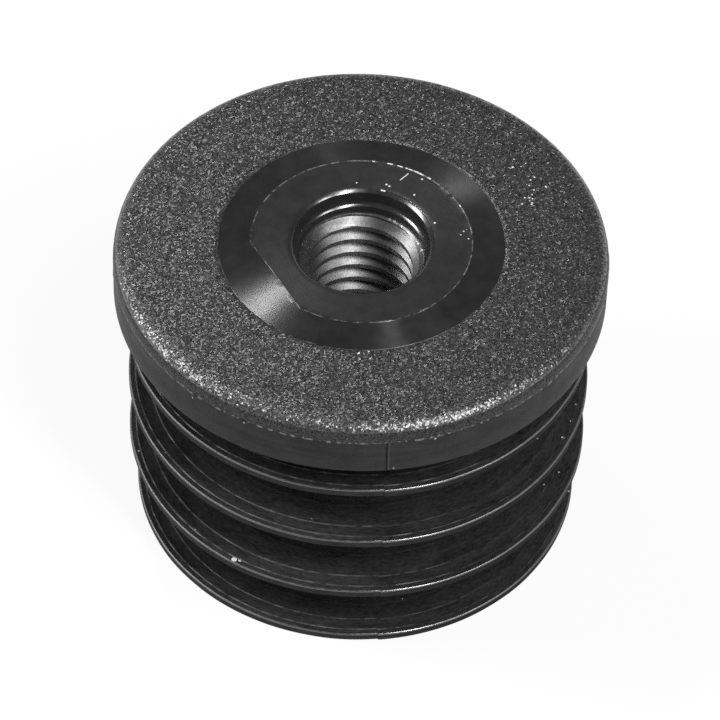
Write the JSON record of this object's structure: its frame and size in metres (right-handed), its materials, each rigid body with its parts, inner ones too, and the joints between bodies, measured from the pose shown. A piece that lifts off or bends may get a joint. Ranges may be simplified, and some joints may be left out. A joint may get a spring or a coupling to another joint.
{
  "type": "threaded tube insert",
  "caption": "Round ribbed plug with a flanged textured head and a moulded-in threaded steel bush, pushed into a tube's end to take a foot, caster or screw.",
  "frame": {"origin": "on the axis, at the lead end that stands on the surface", "axes": "+Z along the axis, from the lead end to the head; the flat on the raised centre faces 211 degrees from +X"},
  "size_m": [0.04, 0.04, 0.0286],
  "materials": {
    "body_plastic": "black moulded plastic, spark-eroded grain on the head, polished cone round the hole, smooth sides and ribs",
    "bush_steel": "bare cut steel, tapped thread"
  },
  "bodies": {
    "root": {"body": "body_plastic", "threaded_bush": "bush_steel"}
  },
  "joints": []
}
